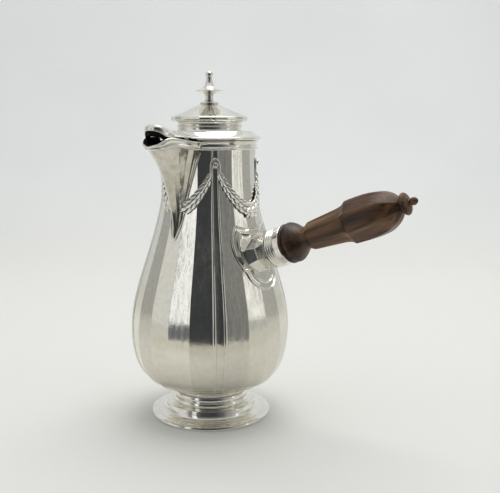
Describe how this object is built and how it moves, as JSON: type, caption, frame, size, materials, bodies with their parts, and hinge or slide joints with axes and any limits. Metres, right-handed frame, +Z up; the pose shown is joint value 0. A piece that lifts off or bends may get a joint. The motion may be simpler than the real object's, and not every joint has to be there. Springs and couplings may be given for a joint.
{
  "type": "chocolate pot",
  "caption": "Tall pear-shaped silver chocolate pot with faceted body, beaked spout, laurel swags, side wooden handle, and hinged lid with a lift-out finial.",
  "frame": {"origin": "centre of the foot's flat underside, on the pot's axis", "axes": "+Z up along the pot's axis; +X towards the handle; -Y towards the spout; +Y towards the lid's hinge"},
  "size_m": [0.2126, 0.1192, 0.245],
  "materials": {
    "silver": "hand-polished silver, slightly warm",
    "handle_wood": "waxed dark turned hardwood"
  },
  "bodies": {
    "pot": {"body_shell": "silver", "rim_band": "silver", "spout": "silver", "spout_lip": "silver", "spout_roof": "silver", "spout_border": "silver", "foot_ring": "silver", "foot": "silver", "foot_collar": "silver", "hinge_plate": "silver", "hinge_pin": "silver", "handle_plate": "silver", "handle_socket": "silver", "handle_ferrule": "silver", "handle_grip": "handle_wood", "handle_pin": "silver", "stud_back_right": "silver", "stud_back_left": "silver", "stud_front_left": "silver", "stud_front_right": "silver", "garland_handle": "silver", "garland_back": "silver", "garland_side": "silver", "garland_spout_right": "silver", "garland_spout_left": "silver"},
    "lid": {"lid_flange": "silver", "lid_bezel": "silver", "lid_neck": "silver", "lid_dome": "silver", "finial_bush": "silver", "lid_knuckle": "silver"},
    "finial": {"finial": "silver"}
  },
  "joints": [
    {"name": "lid_hinge", "type": "hinge", "parent": "pot", "child": "lid", "pos_m": [0, 0.0373, 0.19835], "axis": [-1, 0, 0], "range_deg": [0, 105]},
    {"name": "finial_lift", "type": "slide", "parent": "lid", "child": "finial", "axis": [0, 0, 1], "range_m": [0, 0.02]}
  ]
}
